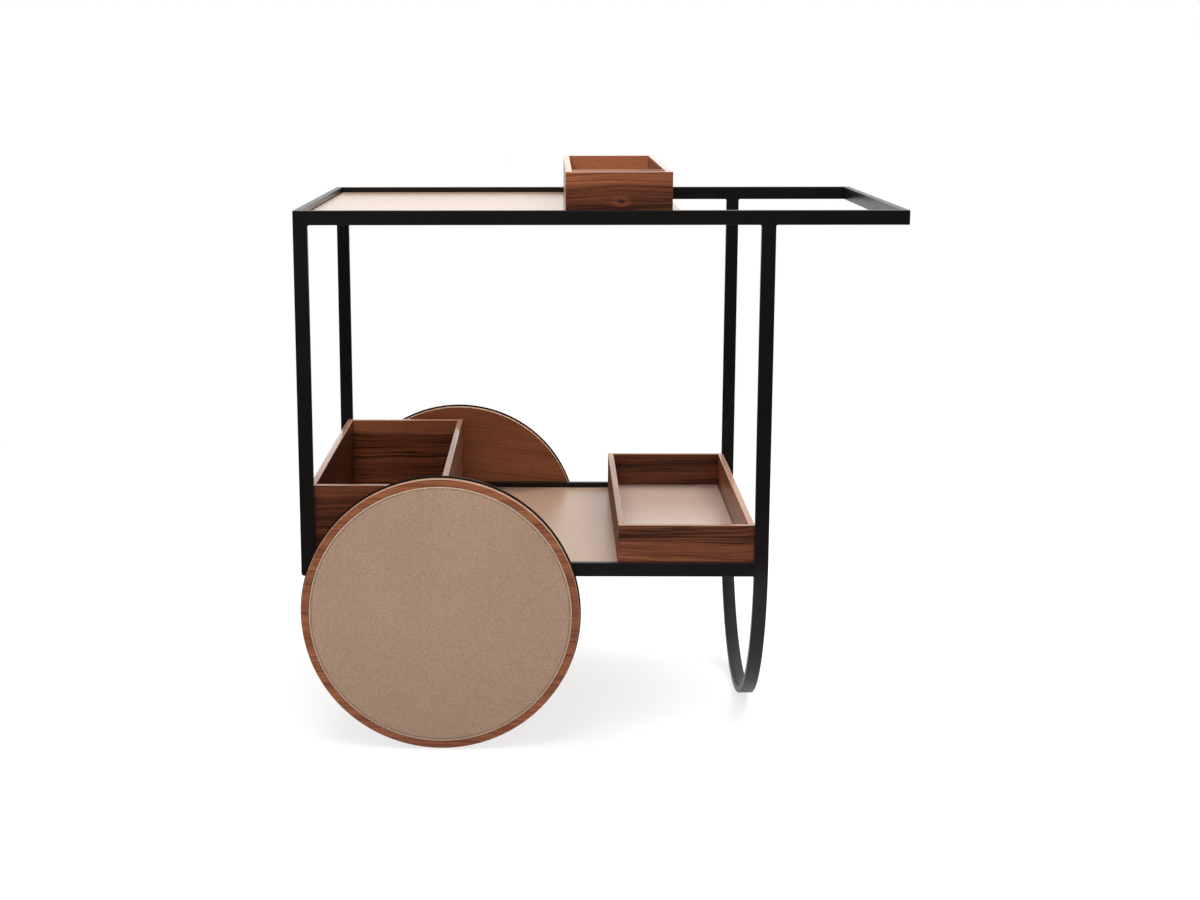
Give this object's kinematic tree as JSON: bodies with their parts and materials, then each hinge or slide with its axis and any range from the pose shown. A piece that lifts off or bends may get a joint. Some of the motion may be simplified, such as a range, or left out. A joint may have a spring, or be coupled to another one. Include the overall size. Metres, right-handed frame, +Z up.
{
  "type": "serving trolley",
  "caption": "Flat-bar steel serving trolley with a push handle, a hooped leg, large disc wheels, leather-topped decks and loose walnut boxes.",
  "frame": {"origin": "on the floor, below the middle of the steel frame", "axes": "+Z up; +X towards the push handle; -Y is the side that the picture shows, with one wheel on each side in Y"},
  "size_m": [0.85, 0.6092, 0.8219],
  "materials": {
    "black_steel": "satin black powder coat",
    "bare_steel": "zinc plated",
    "bronze": "sintered bronze",
    "black_rubber": "matt",
    "walnut": "oiled walnut veneer",
    "plywood": "raw birch plywood",
    "taupe_leather": "fine grained, stitched",
    "cream_leather": "fine grained"
  },
  "bodies": {
    "frame": {"axle": "bare_steel", "axle_nuts": "bare_steel", "axle_spacers": "bare_steel", "axle_washers": "bare_steel", "back_axle_bracket": "black_steel", "back_left_post": "black_steel", "deck_screws": "bare_steel", "front_axle_bracket": "black_steel", "front_left_post": "black_steel", "handle_rail": "black_steel", "hoop_leg": "black_steel", "shelf_back_ledge": "black_steel", "shelf_back_rail": "black_steel", "shelf_board": "plywood", "shelf_front_ledge": "black_steel", "shelf_front_rail": "black_steel", "shelf_leather": "cream_leather", "shelf_left_rail": "black_steel", "shelf_right_rail": "black_steel", "top_back_ledge": "black_steel", "top_back_rail": "black_steel", "top_board": "plywood", "top_cross_bar": "black_steel", "top_front_ledge": "black_steel", "top_front_rail": "black_steel", "top_leather": "cream_leather", "top_left_rail": "black_steel"},
    "front_wheel": {"front_wheel_bush": "bronze", "front_wheel_core": "plywood", "front_wheel_hub": "bare_steel", "front_wheel_hub_screws": "bare_steel", "front_wheel_inner_disc": "walnut", "front_wheel_leather": "taupe_leather", "front_wheel_outer_disc": "walnut", "front_wheel_tyre": "black_rubber"},
    "back_wheel": {"back_wheel_bush": "bronze", "back_wheel_core": "plywood", "back_wheel_hub": "bare_steel", "back_wheel_hub_screws": "bare_steel", "back_wheel_inner_disc": "walnut", "back_wheel_leather": "taupe_leather", "back_wheel_outer_disc": "walnut", "back_wheel_tyre": "black_rubber"},
    "top_box": {"top_box_back_wall": "walnut", "top_box_divider": "walnut", "top_box_floor": "walnut", "top_box_front_wall": "walnut", "top_box_left_wall": "walnut", "top_box_right_wall": "walnut"},
    "bottle_box": {"bottle_box_back_wall": "walnut", "bottle_box_floor": "walnut", "bottle_box_front_wall": "walnut", "bottle_box_left_wall": "walnut", "bottle_box_right_wall": "walnut"},
    "tray": {"tray_back_wall": "walnut", "tray_floor": "walnut", "tray_front_wall": "walnut", "tray_left_wall": "walnut", "tray_lining": "cream_leather", "tray_right_wall": "walnut"}
  },
  "joints": [
    {"name": "front_wheel_spin", "type": "hinge", "parent": "frame", "child": "front_wheel", "pos_m": [-0.225, -0.291, 0.2], "axis": [0, 1, 0], "continuous": true},
    {"name": "back_wheel_spin", "type": "hinge", "parent": "frame", "child": "back_wheel", "pos_m": [-0.225, 0.291, 0.2], "axis": [0, 1, 0], "continuous": true},
    {"name": "top_box_lift", "type": "slide", "parent": "frame", "child": "top_box", "axis": [0, 0, 1], "range_m": [0, 0.2]},
    {"name": "bottle_box_lift", "type": "slide", "parent": "frame", "child": "bottle_box", "axis": [0, 0, 1], "range_m": [0, 0.25]},
    {"name": "tray_lift", "type": "slide", "parent": "frame", "child": "tray", "axis": [0, 0, 1], "range_m": [0, 0.25]}
  ]
}
